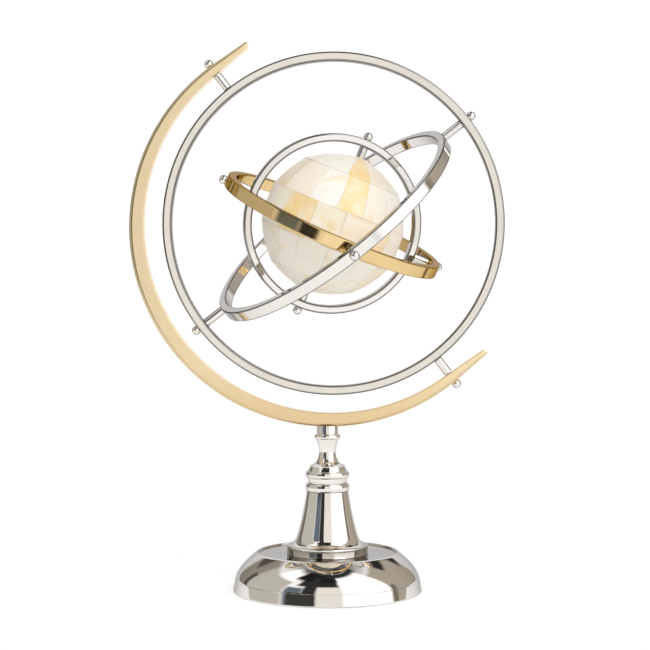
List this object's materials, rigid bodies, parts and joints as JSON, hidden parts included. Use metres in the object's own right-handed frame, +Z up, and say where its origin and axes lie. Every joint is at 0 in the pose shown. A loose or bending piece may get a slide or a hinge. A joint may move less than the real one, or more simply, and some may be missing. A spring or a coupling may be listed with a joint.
{
  "type": "armillary sphere",
  "caption": "Armillary sphere: nested nickel and brass rings and an inlaid globe turn inside one another on ball-headed pins, in a C-shaped arc on a turned pedestal.",
  "frame": {"origin": "middle of the felt under the base, on the table surface", "axes": "+Z up the pedestal's axis, +X along the arc's plane towards its opening, +Y away from the usual viewer"},
  "size_m": [0.3334, 0.2518, 0.4889],
  "materials": {
    "polished_nickel": "mirror-polished nickel plate",
    "polished_brass": "polished, clear-lacquered brass",
    "satin_brass": "fine satin pale brass",
    "inlay": "polished cream and honey onyx inlay",
    "core_wood": "turned, unfinished",
    "plain_steel": "plain machined",
    "cast_iron": "as cast, hidden",
    "felt": "dense wool felt"
  },
  "bodies": {
    "stand": {"base_shell": "polished_nickel", "base_weight": "cast_iron", "felt_pad": "felt", "column": "polished_nickel", "collar": "polished_nickel", "neck": "polished_nickel", "tie_rod": "plain_steel", "tie_rod_washer": "plain_steel", "tie_rod_nut": "plain_steel", "arc_screw": "polished_nickel", "arc": "satin_brass"},
    "ring_1_turning": {"ring_1": "polished_nickel", "pivot_pin_1a": "polished_nickel", "pivot_pin_1b": "polished_nickel", "spacer_sleeve_1a": "polished_nickel", "spacer_sleeve_1b": "polished_nickel"},
    "ring_2_turning": {"ring_2": "polished_nickel", "pivot_pin_2a": "polished_nickel", "pivot_pin_2b": "polished_nickel", "spacer_sleeve_2a": "polished_nickel", "spacer_sleeve_2b": "polished_nickel"},
    "ring_3_turning": {"ring_3": "polished_brass", "pivot_pin_3a": "polished_nickel", "pivot_pin_3b": "polished_nickel", "spacer_sleeve_3a": "polished_nickel", "spacer_sleeve_3b": "polished_nickel"},
    "ring_4_turning": {"ring_4": "polished_nickel", "pivot_pin_4a": "polished_nickel", "pivot_pin_4b": "polished_nickel", "spacer_sleeve_4a": "polished_nickel", "spacer_sleeve_4b": "polished_nickel"},
    "globe": {"globe_core": "core_wood", "globe_inlay": "inlay", "pivot_pin_5a": "polished_nickel", "pivot_pin_5b": "polished_nickel", "spacer_sleeve_5a": "polished_nickel", "spacer_sleeve_5b": "polished_nickel"}
  },
  "joints": [
    {"name": "ring_1_pivot", "type": "hinge", "parent": "stand", "child": "ring_1_turning", "pos_m": [0.0047, 0, 0.32683], "axis": [-0.6129, 0, 0.7902], "continuous": true},
    {"name": "ring_2_pivot", "type": "hinge", "parent": "ring_1_turning", "child": "ring_2_turning", "pos_m": [0.0047, 0, 0.32683], "axis": [-0.7887, 0.061, -0.6118], "continuous": true},
    {"name": "ring_3_pivot", "type": "hinge", "parent": "ring_2_turning", "child": "ring_3_turning", "pos_m": [0.0047, 0, 0.32683], "axis": [-0.1341, 0.954, 0.2681], "continuous": true},
    {"name": "ring_4_pivot", "type": "hinge", "parent": "ring_3_turning", "child": "ring_4_turning", "pos_m": [0.0047, 0, 0.32683], "axis": [-0.9071, -0.2271, 0.3543], "continuous": true},
    {"name": "globe_pivot", "type": "hinge", "parent": "ring_4_turning", "child": "globe", "pos_m": [0.0047, 0, 0.32683], "axis": [0.3793, -0.0763, 0.9221], "continuous": true}
  ]
}
